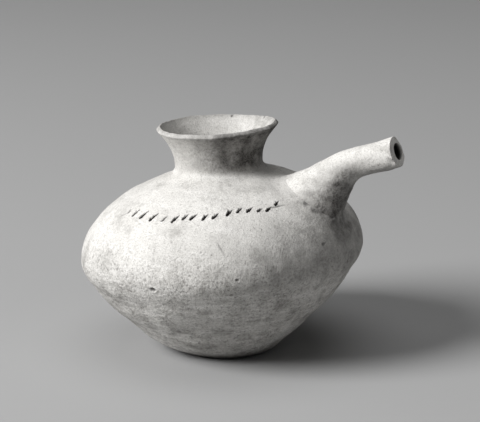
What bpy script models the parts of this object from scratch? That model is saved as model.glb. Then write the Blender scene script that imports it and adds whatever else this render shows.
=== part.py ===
"""A hand-built clay ewer: a round belly on a small flat base, a flared neck and a bent pouring spout.

The vessel is put together from parts that were formed one by one and luted with slip: a base disc, a lower
bowl, a shoulder, a neck, a spout tube, and the two coils of clay that close the corners at neck and spout.
Every seam is a scarf, a rebate or a socket with a thin slip line in it. Metres, +Z up, spout towards +X, and
the origin at the middle of the face that the vessel stands on.
"""

import math

import bmesh
import bpy
from mathutils import Vector
from mathutils.geometry import interpolate_bezier

MM = 0.001

# Outside of the body, as radius and height on the turning axis
BASE_RADIUS = 26.5 * MM
BASE_ANGLE = math.radians(8)
BELLY_RADIUS = 85.0 * MM
BELLY_HEIGHT = 60.8 * MM
ROOT_RADIUS = 36.8 * MM
ROOT_HEIGHT = 105.8 * MM
ROOT_ANGLE = math.radians(18)
WAIST_RADIUS = 26.1 * MM
WAIST_HEIGHT = 112.9 * MM
RIM_RADIUS = 36.2 * MM
RIM_HEIGHT = 135.5 * MM
RIM_FLARE = math.radians(42)

# How far each stretch of the outline runs on before it turns
BASE_RUN = 13.0 * MM
BELLY_RUN_BELOW = 15.8 * MM
BELLY_RUN_ABOVE = 21.6 * MM
SHOULDER_RUN = 23.0 * MM
FILLET_RUN = 3.0 * MM
WAIST_RUN_BELOW = 4.8 * MM
WAIST_RUN_ABOVE = 10.0 * MM
RIM_RUN = 8.0 * MM

# Walls, seams and the slip in them
WALL = 4.5 * MM
NECK_WALL = 4.2 * MM
LIP_WALL = 3.0 * MM
SLIP = 0.3 * MM
SCARF = 4.0 * MM
BASE_SEAM = 15.0 * MM
LUTING = 1.6 * MM
LUTING_UP_NECK = 4.0 * MM

# The set of the vessel: it settled back from its spout while the clay was soft
LEAN = math.radians(4.9)
LEAN_RISE = 8.0 * MM
DRIFT = 0.04
LIP_WAVE = 1.2 * MM

# Spout tube, its bend, and the collar of clay round its root
SPOUT_HEIGHT = 93.3 * MM
SPOUT_LEAVE = math.radians(46)
SPOUT_STEM = 25.0 * MM
SPOUT_BEND_RADIUS = 25.0 * MM
SPOUT_TIP_ANGLE = math.radians(19.5)
SPOUT_TUBE = 27.0 * MM
SPOUT_RADIUS = 8.9 * MM
TENON_RADIUS = 7.6 * MM
BORE_RADIUS = 5.0 * MM
TENON_PAST_WALL = 2.0 * MM
STEP_RUN = 0.1 * MM
COLLAR_RADIUS = 19.0 * MM
COLLAR_WIDTH = 15.6 * MM
COLLAR_FLARE = 1.45
COLLAR_BED = 12.0 * MM

# Fineness of the facets
TURN_STEPS = 52
CURVE_STEPS = 9
FILLET_STEPS = 5
LIP_STEPS = 4
TUBE_SIDES = 24
BEND_STEPS = 6
COLLAR_STEPS = 9
OVERCUT = 3.0 * MM
WELD = 0.01 * MM
SHARP_ANGLE = math.radians(35)

CLAY = {
    "base": (0.46, 0.45, 0.43, 1.0),
    "lower_bowl": (0.58, 0.57, 0.55, 1.0),
    "shoulder": (0.68, 0.67, 0.64, 1.0),
    "neck": (0.66, 0.65, 0.62, 1.0),
    "neck_luting": (0.62, 0.61, 0.58, 1.0),
    "spout": (0.70, 0.69, 0.66, 1.0),
    "spout_collar": (0.64, 0.63, 0.60, 1.0),
}
CLAY_ROUGHNESS = 0.85


def clear_scene():
    for obj in list(bpy.data.objects):
        bpy.data.objects.remove(obj, do_unlink=True)


def new_collection(name):
    collection = bpy.data.collections.new(name)
    bpy.context.scene.collection.children.link(collection)
    return collection


def fired_clay(part):
    material = bpy.data.materials.new("fired_clay_" + part)
    material.use_nodes = True
    shader = material.node_tree.nodes["Principled BSDF"]
    shader.inputs["Base Color"].default_value = CLAY[part]
    shader.inputs["Roughness"].default_value = CLAY_ROUGHNESS
    shader.inputs["Metallic"].default_value = 0.0
    return material


# The outline of the vessel

def along(start, angle, run):
    """The point that lies run away from start, angle above the level."""
    return Vector((start[0] + run * math.cos(angle), start[1] + run * math.sin(angle)))


def outline():
    """The outer outline from the base's edge to the rim, as stretches between its turning points."""
    base = Vector((BASE_RADIUS, 0.0))
    belly = Vector((BELLY_RADIUS, BELLY_HEIGHT))
    root = Vector((ROOT_RADIUS, ROOT_HEIGHT))
    waist = Vector((WAIST_RADIUS, WAIST_HEIGHT))
    rim = Vector((RIM_RADIUS, RIM_HEIGHT))
    up = math.pi / 2
    inwards = math.pi - ROOT_ANGLE
    flare = up - RIM_FLARE
    return [
        (base, along(base, BASE_ANGLE, BASE_RUN), along(belly, up, -BELLY_RUN_BELOW), belly, CURVE_STEPS),
        (belly, along(belly, up, BELLY_RUN_ABOVE), along(root, inwards, -SHOULDER_RUN), root, CURVE_STEPS),
        (root, along(root, inwards, FILLET_RUN), along(waist, up, -WAIST_RUN_BELOW), waist, FILLET_STEPS),
        (waist, along(waist, up, WAIST_RUN_ABOVE), along(rim, flare, -RIM_RUN), rim, CURVE_STEPS),
    ]


class Skin:
    """The outer outline as points, with the distance along it and the way into the wall at each."""

    def __init__(self):
        self.points = []
        self.turns = [0]
        for start, handle, other_handle, end, steps in outline():
            stretch = interpolate_bezier(start, handle, other_handle, end, steps + 1)
            self.points.extend(stretch if not self.points else stretch[1:])
            self.turns.append(len(self.points) - 1)
        self.lengths = [0.0]
        for before, after in zip(self.points, self.points[1:]):
            self.lengths.append(self.lengths[-1] + (after - before).length)
        self.inward = []
        last = len(self.points) - 1
        for index in range(last + 1):
            run = self.points[min(index + 1, last)] - self.points[max(index - 1, 0)]
            self.inward.append(Vector((-run.y, run.x)).normalized())
        self.belly, self.root, self.waist, self.rim = (self.lengths[turn] for turn in self.turns[1:])

    def place(self, length):
        """The stretch that holds this length, and the share of it that is passed there."""
        index = 0
        while index < len(self.lengths) - 2 and self.lengths[index + 1] < length:
            index += 1
        return index, (length - self.lengths[index]) / (self.lengths[index + 1] - self.lengths[index])

    def at(self, length, depth=0.0):
        """The point this far along the outline and this deep in the wall."""
        index, share = self.place(length)
        point = self.points[index].lerp(self.points[index + 1], share)
        return point + depth * self.inward[index].lerp(self.inward[index + 1], share).normalized()

    def run(self, start, end, depth):
        """The points from one length down or up to another, at a depth that may depend on the length."""
        depth_at = depth if callable(depth) else lambda length: depth
        low, high = min(start, end), max(start, end)
        lengths = [low] + [length for length in self.lengths if low < length < high] + [high]
        if start > end:
            lengths.reverse()
        return [self.at(length, depth_at(length)) for length in lengths]

    def at_height(self, height):
        """The length at which the shoulder reaches this height."""
        for index in range(self.turns[1], self.turns[2]):
            low, high = self.points[index].y, self.points[index + 1].y
            if low <= height <= high:
                share = (height - low) / (high - low)
                return self.lengths[index] + share * (self.lengths[index + 1] - self.lengths[index])
        return self.root


SKIN = Skin()


def wall(length):
    """The wall's thickness: even on the body, a little less in the neck and thin at the lip."""
    if length <= SKIN.root:
        return WALL
    if length <= SKIN.waist:
        share = (length - SKIN.root) / (SKIN.waist - SKIN.root)
        return WALL + share * (NECK_WALL - WALL)
    share = (length - SKIN.waist) / (SKIN.rim - SKIN.waist)
    return NECK_WALL + share * (LIP_WALL - NECK_WALL)


def scarf_slip():
    """The run along the outline that leaves a slip line of even width in a scarf."""
    return SLIP * math.hypot(WALL, SCARF) / WALL


def settled(point):
    """Where a turned point comes to lie once the vessel has leaned back from its spout."""
    x, y, height = point
    rise = min(max(height / LEAN_RISE, 0.0), 1.0)
    tilt = LEAN * rise * rise * (3 - 2 * rise)
    up_neck = min(max((height - WAIST_HEIGHT) / (RIM_HEIGHT - WAIST_HEIGHT), 0.0), 1.0)
    turn = math.atan2(y, x)
    wave = LIP_WAVE * up_neck * up_neck * math.cos(2 * turn)
    return Vector((x * math.cos(tilt) - DRIFT * height, y, height + x * math.sin(tilt) + wave))


# Making objects

def add_object(name, mesh, collection):
    obj = bpy.data.objects.new(name, mesh)
    collection.objects.link(obj)
    return obj


def evaluated_mesh(name, obj):
    """The object's mesh with its modifiers in it, welded. The object itself is removed."""
    bpy.context.view_layer.update()
    graph = bpy.context.evaluated_depsgraph_get()
    mesh = bpy.data.meshes.new_from_object(obj.evaluated_get(graph))
    bpy.data.objects.remove(obj, do_unlink=True)
    mesh.name = name
    shape = bmesh.new()
    shape.from_mesh(mesh)
    bmesh.ops.remove_doubles(shape, verts=shape.verts, dist=WELD)
    shape.to_mesh(mesh)
    shape.free()
    return mesh


def turned(name, section, collection, closed=True):
    """A section turned about the axis, top to bottom down its outer side, and settled."""
    profile = bpy.data.meshes.new(name + "_section")
    corners = [(point[0], 0.0, point[1]) for point in section]
    edges = [(index, index + 1) for index in range(len(corners) - 1)]
    if closed:
        edges.append((len(corners) - 1, 0))
    profile.from_pydata(corners, edges, [])
    wheel = add_object(name + "_section", profile, collection)
    screw = wheel.modifiers.new("Turn", "SCREW")
    screw.axis = "Z"
    screw.angle = 2 * math.pi
    screw.steps = TURN_STEPS
    screw.render_steps = TURN_STEPS
    screw.use_merge_vertices = True
    screw.merge_threshold = WELD
    mesh = evaluated_mesh(name, wheel)
    bpy.data.meshes.remove(profile)
    for vertex in mesh.vertices:
        vertex.co = settled(vertex.co)
    return add_object(name, mesh, collection)


def tube(name, stations, collection):
    """A round tube through (point, radius) stations, with filled ends."""
    curve = bpy.data.curves.new(name + "_path", "CURVE")
    curve.dimensions = "3D"
    curve.bevel_depth = SPOUT_RADIUS
    curve.bevel_resolution = TUBE_SIDES // 2 - 2
    curve.use_fill_caps = True
    spline = curve.splines.new("POLY")
    spline.points.add(len(stations) - 1)
    for knot, (point, radius) in zip(spline.points, stations):
        knot.co = (*point, 1.0)
        knot.radius = radius / SPOUT_RADIUS
    path = add_object(name + "_path", curve, collection)
    mesh = evaluated_mesh(name, path)
    bpy.data.curves.remove(curve)
    return add_object(name, mesh, collection)


def loft(name, rings, collection):
    """A closed body through rings of equal count, capped at both ends."""
    shape = bmesh.new()
    rows = [[shape.verts.new(point) for point in ring] for ring in rings]
    for row, after in zip(rows, rows[1:]):
        for index in range(len(row)):
            following = (index + 1) % len(row)
            shape.faces.new((row[index], row[following], after[following], after[index]))
    shape.faces.new(rows[0])
    shape.faces.new(rows[-1])
    bmesh.ops.recalc_face_normals(shape, faces=shape.faces)
    mesh = bpy.data.meshes.new(name)
    shape.to_mesh(mesh)
    shape.free()
    return add_object(name, mesh, collection)


def cut(obj, cutter):
    cutter.hide_render = True
    cutter.display_type = "WIRE"
    boolean = obj.modifiers.new("Cut " + cutter.name, "BOOLEAN")
    boolean.operation = "DIFFERENCE"
    boolean.solver = "EXACT"
    boolean.object = cutter


def finish(obj):
    obj.data.shade_smooth()
    obj.data.set_sharp_from_angle(angle=SHARP_ANGLE)
    obj.data.materials.clear()
    obj.data.materials.append(fired_clay(obj.name))


# The seams, as lengths along the outline

MOUTH_SEAM = (SKIN.root + SKIN.waist) / 2
LUTING_TOP = SKIN.waist + LUTING_UP_NECK
REBATE = LUTING + SLIP


# The turned pieces

def base_section():
    """A dished disc, thick as the wall, with a bevelled edge that the bowl stands on."""
    floor = Vector((0.0, WALL))
    middle = Vector((0.0, 0.0))
    inside = SKIN.run(0.0, BASE_SEAM - SCARF, WALL)
    outside = SKIN.run(BASE_SEAM, 0.0, 0.0)
    return [floor] + inside + outside + [middle]


def lower_bowl_section():
    foot = BASE_SEAM + scarf_slip()
    outside = SKIN.run(SKIN.belly, foot, 0.0)
    inside = SKIN.run(foot - SCARF, SKIN.belly - SCARF, WALL)
    return outside + inside


def shoulder_section():
    """From the belly's scarf up to a mouth that is rebated for the neck's luting."""
    foot = SKIN.belly + scarf_slip()
    rebate = SKIN.run(MOUTH_SEAM, SKIN.root, REBATE)
    outside = SKIN.run(SKIN.root, foot, 0.0)
    inside = SKIN.run(foot - SCARF, MOUTH_SEAM - SCARF, wall)
    return rebate + outside + inside


def neck_luting_section():
    outside = SKIN.run(LUTING_TOP - SLIP, SKIN.root + SLIP, 0.0)
    inside = SKIN.run(SKIN.root + SLIP, LUTING_TOP - SLIP, LUTING)
    return outside + inside


def lip():
    """The rounded top of the wall, from its inner side over to its outer side."""
    inner = SKIN.at(SKIN.rim, LIP_WALL)
    outer = SKIN.at(SKIN.rim)
    middle = (inner + outer) / 2
    reach = (inner - outer) / 2
    ahead = Vector((reach.y, -reach.x))
    turns = [math.pi * step / LIP_STEPS for step in range(1, LIP_STEPS)]
    return [middle + math.cos(turn) * reach + math.sin(turn) * ahead for turn in turns]


def neck_section():
    """A flared collar whose foot, rebated for the luting, stands in the shoulder's mouth."""
    foot = MOUTH_SEAM + scarf_slip()
    outside = SKIN.run(SKIN.rim, LUTING_TOP, 0.0)
    rebate = SKIN.run(LUTING_TOP, foot, REBATE)
    inside = SKIN.run(foot - SCARF, SKIN.rim, wall)
    return outside + rebate + inside + lip()


# The spout

def spout_root():
    """The point of the settled shoulder that the spout's axis leaves from."""
    radius, height = SKIN.at(SKIN.at_height(SPOUT_HEIGHT))
    return settled((radius, 0.0, height))


def bend_angle():
    return SPOUT_LEAVE - SPOUT_TIP_ANGLE


def collar_top():
    """The distance along the spout's axis at which the collar ends: where the bend does."""
    return SPOUT_STEM + SPOUT_BEND_RADIUS * bend_angle()


def spout_tip():
    return collar_top() + SPOUT_TUBE


def on_axis(distance):
    """The point of the spout's axis this far out of the shoulder, and the axis's angle there."""
    root = spout_root()
    straight = min(distance, SPOUT_STEM)
    point = root + straight * Vector((math.cos(SPOUT_LEAVE), 0.0, math.sin(SPOUT_LEAVE)))
    turned_by = min(max((distance - SPOUT_STEM) / SPOUT_BEND_RADIUS, 0.0), bend_angle())
    angle = SPOUT_LEAVE - turned_by
    point.x += SPOUT_BEND_RADIUS * (math.sin(SPOUT_LEAVE) - math.sin(angle))
    point.z += SPOUT_BEND_RADIUS * (math.cos(angle) - math.cos(SPOUT_LEAVE))
    onwards = max(distance - collar_top(), 0.0)
    return point + onwards * Vector((math.cos(angle), 0.0, math.sin(angle))), angle


def tenon_end():
    """The tenon goes through the wall, which it crosses aslant, and just past it."""
    return -(WALL / math.sin(SPOUT_LEAVE) + TENON_PAST_WALL)


def axis_distances(start, end):
    """Distances along the axis from start to end, with the bend in even steps."""
    step_run = SPOUT_BEND_RADIUS * bend_angle() / BEND_STEPS
    bend = [SPOUT_STEM + step * step_run for step in range(BEND_STEPS + 1)]
    return [start] + [distance for distance in bend if start < distance < end] + [end]


def stations(start, end, radius):
    return [(on_axis(distance)[0], radius) for distance in axis_distances(start, end)]


def spout_body(parts, cutters):
    """A bored tube whose lower end is stepped down to a tenon for the collar and the shoulder's hole."""
    step = collar_top() + SLIP
    body = stations(tenon_end(), step, TENON_RADIUS) + stations(step + STEP_RUN, spout_tip(), SPOUT_RADIUS)
    spout = tube("spout", body, parts)
    bore = tube("spout_bore", stations(tenon_end() - OVERCUT, spout_tip() + OVERCUT, BORE_RADIUS), cutters)
    cut(spout, bore)
    return spout


def collar_ring(distance):
    """An oval round the axis, wider towards the shoulder along the spout than across it."""
    centre, angle = on_axis(distance)
    share = (collar_top() - distance) / collar_top()
    swell = share ** COLLAR_FLARE
    half_length = SPOUT_RADIUS + swell * (COLLAR_RADIUS - SPOUT_RADIUS)
    half_width = SPOUT_RADIUS + swell * (COLLAR_WIDTH - SPOUT_RADIUS)
    upright = half_length * Vector((-math.sin(angle), 0.0, math.cos(angle)))
    across = half_width * Vector((0.0, 1.0, 0.0))
    turns = [2 * math.pi * side / TUBE_SIDES for side in range(TUBE_SIDES)]
    return [centre + math.cos(turn) * upright + math.sin(turn) * across for turn in turns]


def collar_bed(cutters):
    """The outside of the whole body, grown by a slip line: what the collar is saddled on."""
    grown = SKIN.run(SKIN.root, SKIN.belly, -SLIP)
    top = Vector((0.0, grown[0].y))
    bottom = Vector((0.0, grown[-1].y))
    return turned("collar_bed", [top] + grown + [bottom], cutters, closed=False)


def spout_collar(parts, cutters):
    """A flared ring of clay, saddled on the shoulder, that the tenon passes through."""
    distances = [collar_top() - step * collar_top() / COLLAR_STEPS for step in range(COLLAR_STEPS + 1)]
    rings = [collar_ring(distance) for distance in distances + [-COLLAR_BED]]
    collar = loft("spout_collar", rings, parts)
    cut(collar, collar_bed(cutters))
    return collar


def main():
    clear_scene()
    parts = new_collection("ewer")
    cutters = new_collection("ewer_cutters")
    base = turned("base", base_section(), parts, closed=False)
    lower_bowl = turned("lower_bowl", lower_bowl_section(), parts)
    shoulder = turned("shoulder", shoulder_section(), parts)
    neck = turned("neck", neck_section(), parts)
    neck_luting = turned("neck_luting", neck_luting_section(), parts)
    spout = spout_body(parts, cutters)
    collar = spout_collar(parts, cutters)
    socket_end = collar_top() + OVERCUT
    socket = tube("spout_socket", stations(tenon_end() - OVERCUT, socket_end, TENON_RADIUS + SLIP), cutters)
    cut(shoulder, socket)
    cut(collar, socket)
    for obj in (base, lower_bowl, shoulder, neck, neck_luting, spout, collar):
        finish(obj)


main()
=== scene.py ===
"""The looks of a hand-built clay ewer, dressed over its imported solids.

One skin is turned from the body's outline, dented and settled, and one is walked along the spout's axis.
Both are then taken apart into the luted pieces of the vessel, each with its own wall and marks.
Metres, +Z up, spout towards +X, origin in the middle of the face that the vessel stands on.
"""

import math

import bmesh
import bpy
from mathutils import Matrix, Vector, noise
from mathutils.bvhtree import BVHTree


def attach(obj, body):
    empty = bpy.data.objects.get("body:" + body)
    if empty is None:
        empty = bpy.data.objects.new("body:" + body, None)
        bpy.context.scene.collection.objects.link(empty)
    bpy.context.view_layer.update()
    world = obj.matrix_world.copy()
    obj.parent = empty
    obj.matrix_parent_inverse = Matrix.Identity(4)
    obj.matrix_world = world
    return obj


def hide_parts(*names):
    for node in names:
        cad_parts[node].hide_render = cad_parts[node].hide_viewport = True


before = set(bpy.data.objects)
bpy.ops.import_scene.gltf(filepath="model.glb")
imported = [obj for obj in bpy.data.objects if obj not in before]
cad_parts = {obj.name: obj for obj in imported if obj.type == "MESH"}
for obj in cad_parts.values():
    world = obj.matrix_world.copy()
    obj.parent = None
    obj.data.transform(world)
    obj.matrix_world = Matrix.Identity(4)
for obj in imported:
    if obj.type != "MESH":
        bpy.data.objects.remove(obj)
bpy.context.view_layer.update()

MM = 0.001

# Outside of the body, as radius and height on the turning axis, the same as the solids'
BASE_RADIUS = 26.5 * MM
BASE_ANGLE = math.radians(8)
BELLY_RADIUS = 85.0 * MM
BELLY_HEIGHT = 60.8 * MM
ROOT_RADIUS = 36.8 * MM
ROOT_HEIGHT = 105.8 * MM
ROOT_ANGLE = math.radians(18)
WAIST_RADIUS = 26.1 * MM
WAIST_HEIGHT = 112.9 * MM
RIM_RADIUS = 36.2 * MM
RIM_HEIGHT = 135.5 * MM
RIM_FLARE = math.radians(42)
BASE_RUN = 13.0 * MM
BELLY_RUN_BELOW = 15.8 * MM
BELLY_RUN_ABOVE = 21.6 * MM
SHOULDER_RUN = 23.0 * MM
FILLET_RUN = 3.0 * MM
WAIST_RUN_BELOW = 4.8 * MM
WAIST_RUN_ABOVE = 10.0 * MM
RIM_RUN = 8.0 * MM

# Walls, the lip and the seams between the luted pieces
WALL = 4.5 * MM
NECK_WALL = 4.2 * MM
LIP_WALL = 3.0 * MM
LIP_REACH = 0.7 * MM
LIP_ROUNDING = 1.4 * MM
LIP_DEPTH = 5.0 * MM
BASE_SEAM_HEIGHT = 4.6 * MM
LUTING_TOP_HEIGHT = 116.9 * MM
PIECES = ("base", "lower_bowl", "shoulder", "neck_luting", "neck")
SEAMS = (BASE_SEAM_HEIGHT, BELLY_HEIGHT, ROOT_HEIGHT, LUTING_TOP_HEIGHT)

# The set of the vessel: it leans back from the spout, and its lip dips on that side with a raised corner
LEAN = math.radians(4.9)
LEAN_RISE = 8.0 * MM
DRIFT = 0.04
LIP_WAVE = 0.3 * MM
LIP_SINK = 2.3 * MM
LIP_SINK_TURN = math.radians(25)
LIP_PEAK = 1.2 * MM
LIP_PEAK_REACH = math.radians(32)

# Hand-made unevenness: the wandering belly line, the worn lip, and patterns as name, grain and swing
BELLY_WANDER = 2.2 * MM
BELLY_WANDER_REACH = 26.0 * MM
BELLY_WANDER_WAVES = 2.3
LIP_SWING = 0.4 * MM
LIP_SWING_WAVES = 5.5
LIP_RIPPLE = 0.1 * MM
LIP_RIPPLE_WAVES = 15.0
LIP_SOIL = 0.35
LIP_SOIL_SIZE = 3.0 * MM
FREE_START = 2.0 * MM
FREE_RUN = 10.0 * MM
UNEVENNESS = (
    ("hand_wobble", 48.0 * MM, 0.8 * MM),
    ("thumb_dents", 14.0 * MM, 0.4 * MM),
    ("drag", 5.0 * MM, 0.12 * MM),
)

# Scraping on the lower bowl: shallow facets, and level bands that drift up and down
SCRAPE_START = 4.0 * MM
SCRAPE_RUN = 8.0 * MM
SCRAPE_FADE = 14.0 * MM
SCRAPE_DEPTH = 0.38 * MM
SCRAPE_WAVES = 1.6
FACET_HEIGHT = 6.0 * MM
BAND_DEPTH = 0.36 * MM
BAND_HEIGHT = 34.0 * MM
BAND_PITCH = 24.0 * MM
BAND_DRIFT = 4.0 * MM

# Painted shade, mottled like a stain: the clay is darkened on the side of the neck and belly away from the
# lamp, about the collar, under the tube and inside
SHADE_TURN = math.radians(27)
NECK_SHADE = 1.15
NECK_SHADE_START = 3.0 * MM
NECK_SHADE_RUN = 8.0 * MM
NECK_SHADE_SIDE = 40.0 * MM
NECK_SHADE_SPREAD = 50.0 * MM
BELLY_SHADE = 0.6
BELLY_SHADE_START = 45.0 * MM
BELLY_SHADE_RUN = 25.0 * MM
BELLY_SHADE_FADE = 26.0 * MM
BELLY_SHADE_SIDE = 22.0 * MM
BELLY_SHADE_SPREAD = 64.0 * MM
COLLAR_SHADE = 1.25
COLLAR_SHADE_END = 104.0 * MM
COLLAR_SHADE_RUN = 30.0 * MM
TUBE_SHADE = 0.8
INSIDE_SHADE = 0.32

# Spout tube with its bend, lumps, chipped end and bore, and the collar of clay round its root
SPOUT_ROOT = Vector((57.4, 0.0, 98.6)) * MM
SPOUT_LEAVE = math.radians(46)
SPOUT_STEM = 22.0 * MM
SPOUT_BEND_RADIUS = 38.0 * MM
SPOUT_TIP_ANGLE = math.radians(19.5)
SPOUT_TUBE = 24.0 * MM
SPOUT_RADIUS = 8.9 * MM
TIP_ROUNDING = 0.5 * MM
BORE_ROUNDING = 0.4 * MM
LUMP_SIZE = 11.0 * MM
LUMP_SWING = 0.5 * MM
BUMP_SIZE = 3.5 * MM
BUMP_SWING = 0.16 * MM
CHIP_DEPTH = 3.0 * MM
CHIP_SIZE = 6.0 * MM
CHIP_REACH = 4.5 * MM
CHIP_PATTERN = Vector((15.54, 0.0, 0.0))        # slides the noise to where the chips fall on one side
BORE_SHIFT = 1.5 * MM
BORE_SHIFT_RUN = 18.0 * MM
# Painted shade darkens the bore from this far inside the tip
BORE_SHADE_RUN = 2.0 * MM
TENON_RADIUS = 7.5 * MM
TENON_END = -8.2 * MM
SOCKET_RADIUS = 7.9 * MM
BORE_RADIUS = 5.0 * MM
COLLAR_RADIUS = 20.3 * MM
COLLAR_SAG = 1.4 * MM
COLLAR_WIDTH = 15.6 * MM
COLLAR_FLARE = 1.45
COLLAR_LENGTH = 36.5 * MM
COLLAR_BED = 9.0 * MM
COLLAR_FILLET = 4.5 * MM
COLLAR_FILLET_RISE = 1.5 * MM
COLLAR_FILLET_DEPTH = 3.0 * MM
COLLAR_GRIME = 3.5 * MM
GRIME = 0.8
GRIME_SIZE = 3.0 * MM
GRIME_WAY = Vector((0.35, -0.75, -0.56))
# Painted shade in a halo round the collar, and how far it reaches
COLLAR_SHADE_HALO = 0.3
COLLAR_SHADE_HALO_REACH = 15.0 * MM

# Fineness of the meshes
TURN_STEPS = 448
OUTLINE_STEPS = (54, 56, 14, 28)
BASE_STEPS = 16
TUBE_SIDES = 128
TUBE_STEP = 1.1 * MM
ROUNDING_STEPS = 4
WELD = 0.002 * MM
SHARP_ANGLE = math.radians(48)

# The row of slashes on the front of the shoulder, steeper to the left: turn in degrees, rise, and strength
SLASH_HEIGHT = 94.1 * MM
SLASH_LENGTH = 6.6 * MM
SLASH_WIDTH = 2.2 * MM
SLASH_DEPTH = 1.0 * MM
SLASH_SLANT = math.radians(48)
SLASH_STEEPENING = 0.62
SLASH_MIDDLE = -63.0
SLASH_FORK = math.radians(46)
SLASHES = (
    (-122.5, 0.3 * MM, 0.5), (-116.5, 0.2 * MM, 1.1), (-109.0, 0.0 * MM, 1.4), (-101.3, -0.3 * MM, 1.4),
    (-93.8, -0.7 * MM, 0.8), (-87.3, -0.7 * MM, 1.2), (-82.0, 0.3 * MM, 0.9), (-77.5, 0.2 * MM, 1.0),
    (-71.0, 0.0 * MM, 1.0), (-65.5, 0.3 * MM, 1.0), (-57.8, 1.2 * MM, 1.1), (-52.0, 1.9 * MM, 0.9),
    (-46.3, 1.5 * MM, 1.0), (-40.7, 0.8 * MM, 0.7), (-35.5, 0.5 * MM, 1.0), (-28.6, 2.1 * MM, 0.9),
)

# Other marks: scored lines from one height and turn to another, pits, painted shadow along the foot where
# it meets the ground, and nicks in the lip
SCORE_WIDTH = 0.9 * MM
SCORES = (
    (95.1 * MM, -35.5, 94.7 * MM, -24.0, 0.35 * MM),
    (84.0 * MM, -65.0, 74.0 * MM, -60.8, 0.22 * MM),
    (90.5 * MM, -127.0, 94.5 * MM, -121.5, 0.22 * MM),
)
PIT_REACH = 2.2
PITS = (
    (56.6 * MM, -91.0, 1.9 * MM, 1.0 * MM),
    (61.2 * MM, -57.0, 1.2 * MM, 0.6 * MM),
    (72.0 * MM, -17.0, 1.5 * MM, 0.5 * MM),
    (78.0 * MM, -71.0, 0.8 * MM, 0.35 * MM),
    (70.5 * MM, -72.0, 0.7 * MM, 0.3 * MM),
    (70.0 * MM, -92.5, 0.9 * MM, 0.3 * MM),
    (83.0 * MM, -84.5, 0.8 * MM, 0.3 * MM),
    (83.0 * MM, -5.0, 1.5 * MM, 0.6 * MM),
)
FOOT_SHADE = 0.9
FOOT_SHADE_RISE = 5.5 * MM
NICK_WIDTH = 0.8 * MM
NICK_DEPTH = 0.35 * MM
NICKS = ((-31.0, 0.9), (-11.0, 0.8), (-48.6, 0.6), (-25.5, 0.7), (102.0, 1.0), (-150.0, 0.5), (60.0, 0.6))

# Camera at the photograph's angle, and where its target lands in the picture
IMAGE_WIDTH = 480
IMAGE_HEIGHT = 422
SENSOR_MM = 36.0
FOCAL_PIXELS = 2163.0
CAMERA_TURN = math.radians(27)
CAMERA_RISE = math.radians(15.6)
CAMERA_DISTANCE = 1.3
CAMERA_TARGET = Vector((0.0, 0.0, 0.065))
TARGET_PIXEL = (225.8, 241.5)

# Light: a soft lamp left of the camera, weak ones on the right and overhead, a dim room, and the ground
KEY_TURN = math.radians(65)
KEY_RISE = math.radians(34)
KEY_DISTANCE = 3.6
KEY_SIZE = 1.8
KEY_WATTS = 188.0
FILL_TURN = math.radians(-55)
FILL_RISE = math.radians(20)
FILL_DISTANCE = 3.0
FILL_SIZE = 2.0
FILL_WATTS = 6.0
OVERHEAD_HEIGHT = 2.2
OVERHEAD_SIZE = 2.4
OVERHEAD_WATTS = 17.0
ROOM_STRENGTH = 0.03
GROUND_SIZE = 8.0

# Patterns in the clay: size, finer layers and their strength, with the grain coarsened so that it shows
CLAY_PATTERNS = (
    ("broad", 62.0 * MM, 4.0, 0.55),
    ("stain", 17.0 * MM, 7.0, 0.68),
    ("patch", 8.0 * MM, 8.0, 0.7),
    ("streak", 26.0 * MM, 6.0, 0.65),
    ("fleck", 1.7 * MM, 3.0, 0.6),
    ("grain", 0.7 * MM, 3.0, 0.6),
    ("grit", 1.5 * MM, 3.0, 0.6),
    ("dents", 4.5 * MM, 3.0, 0.5),
)
STREAK_SQUASH = 9.0

# Where the clay is scraped and rough: least so above the first height, and fully below the second
CLAY_ZONES = (
    ("scraped", 74.0 * MM, 40.0 * MM, 0.0),
    ("rough", 84.0 * MM, 62.0 * MM, 0.3),
)
WORN_START = 0.3
WORN_FULL = 0.6
WORN_LEAST = 0.4

# Tints laid over the plain clay: pattern, its value at both ends, the strength there, and the zone kept to
CLAY_COLOUR = "#DCDAD6"
CLAY_TINTS = (
    ("#C9C7C3", "broad", 0.42, 0.66, 0.0, 1.0, None),
    ("#A6A4A0", "stain", 0.52, 0.7, 0.0, 0.85, None),
    ("#B0AEAA", "streak", 0.46, 0.7, 0.0, 0.4, "scraped"),
    ("#827F7B", "patch", 0.48, 0.68, 0.0, 0.9, "scraped"),
    ("#E9E7E4", "streak", 0.5, 0.34, 0.0, 0.5, None),
    # Painted shade, mottled by the patches
    ("#484644", "patch", 0.36, 0.66, 0.45, 1.0, "painted_shade"),
    ("#66635F", "grit", 0.5, 0.32, 0.0, 0.75, "rough"),
    ("#928F8B", "grain", 0.48, 0.7, 0.0, 0.6, None),
    ("#6A6763", "fleck", 0.62, 0.75, 0.0, 0.65, None),
    # Dirt on the lip and in the marks, with painted shade in hollows, in the bore and along the foot
    ("#1D1B1A", "dirt_and_shade", 0.0, 1.0, 0.0, 1.0, None),
)

# Relief too fine for the mesh: the pattern, its height, and the zone that it keeps to
CLAY_RELIEF = (
    ("grain", 0.34 * MM, None),
    ("grit", 0.9 * MM, "rough"),
    ("dents", 0.4 * MM, "rough"),
    ("streak", 0.15 * MM, "scraped"),
)
CLAY_IOR = 1.5
CLAY_ROUGHNESS = 0.9
CLAY_GLOSS = 0.25

# The mix node's sockets by number, because its kinds of socket share their names
MIX_AMOUNT = 0
MIX_FROM = 6
MIX_TO = 7
MIX_RESULT = 2


# Small helpers

def linear(hex_colour):
    """A linear RGBA colour from an sRGB hex value."""
    channels = [int(hex_colour[place:place + 2], 16) / 255 for place in (1, 3, 5)]
    return [c / 12.92 if c <= 0.04045 else ((c + 0.055) / 1.055) ** 2.4 for c in channels] + [1.0]


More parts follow.
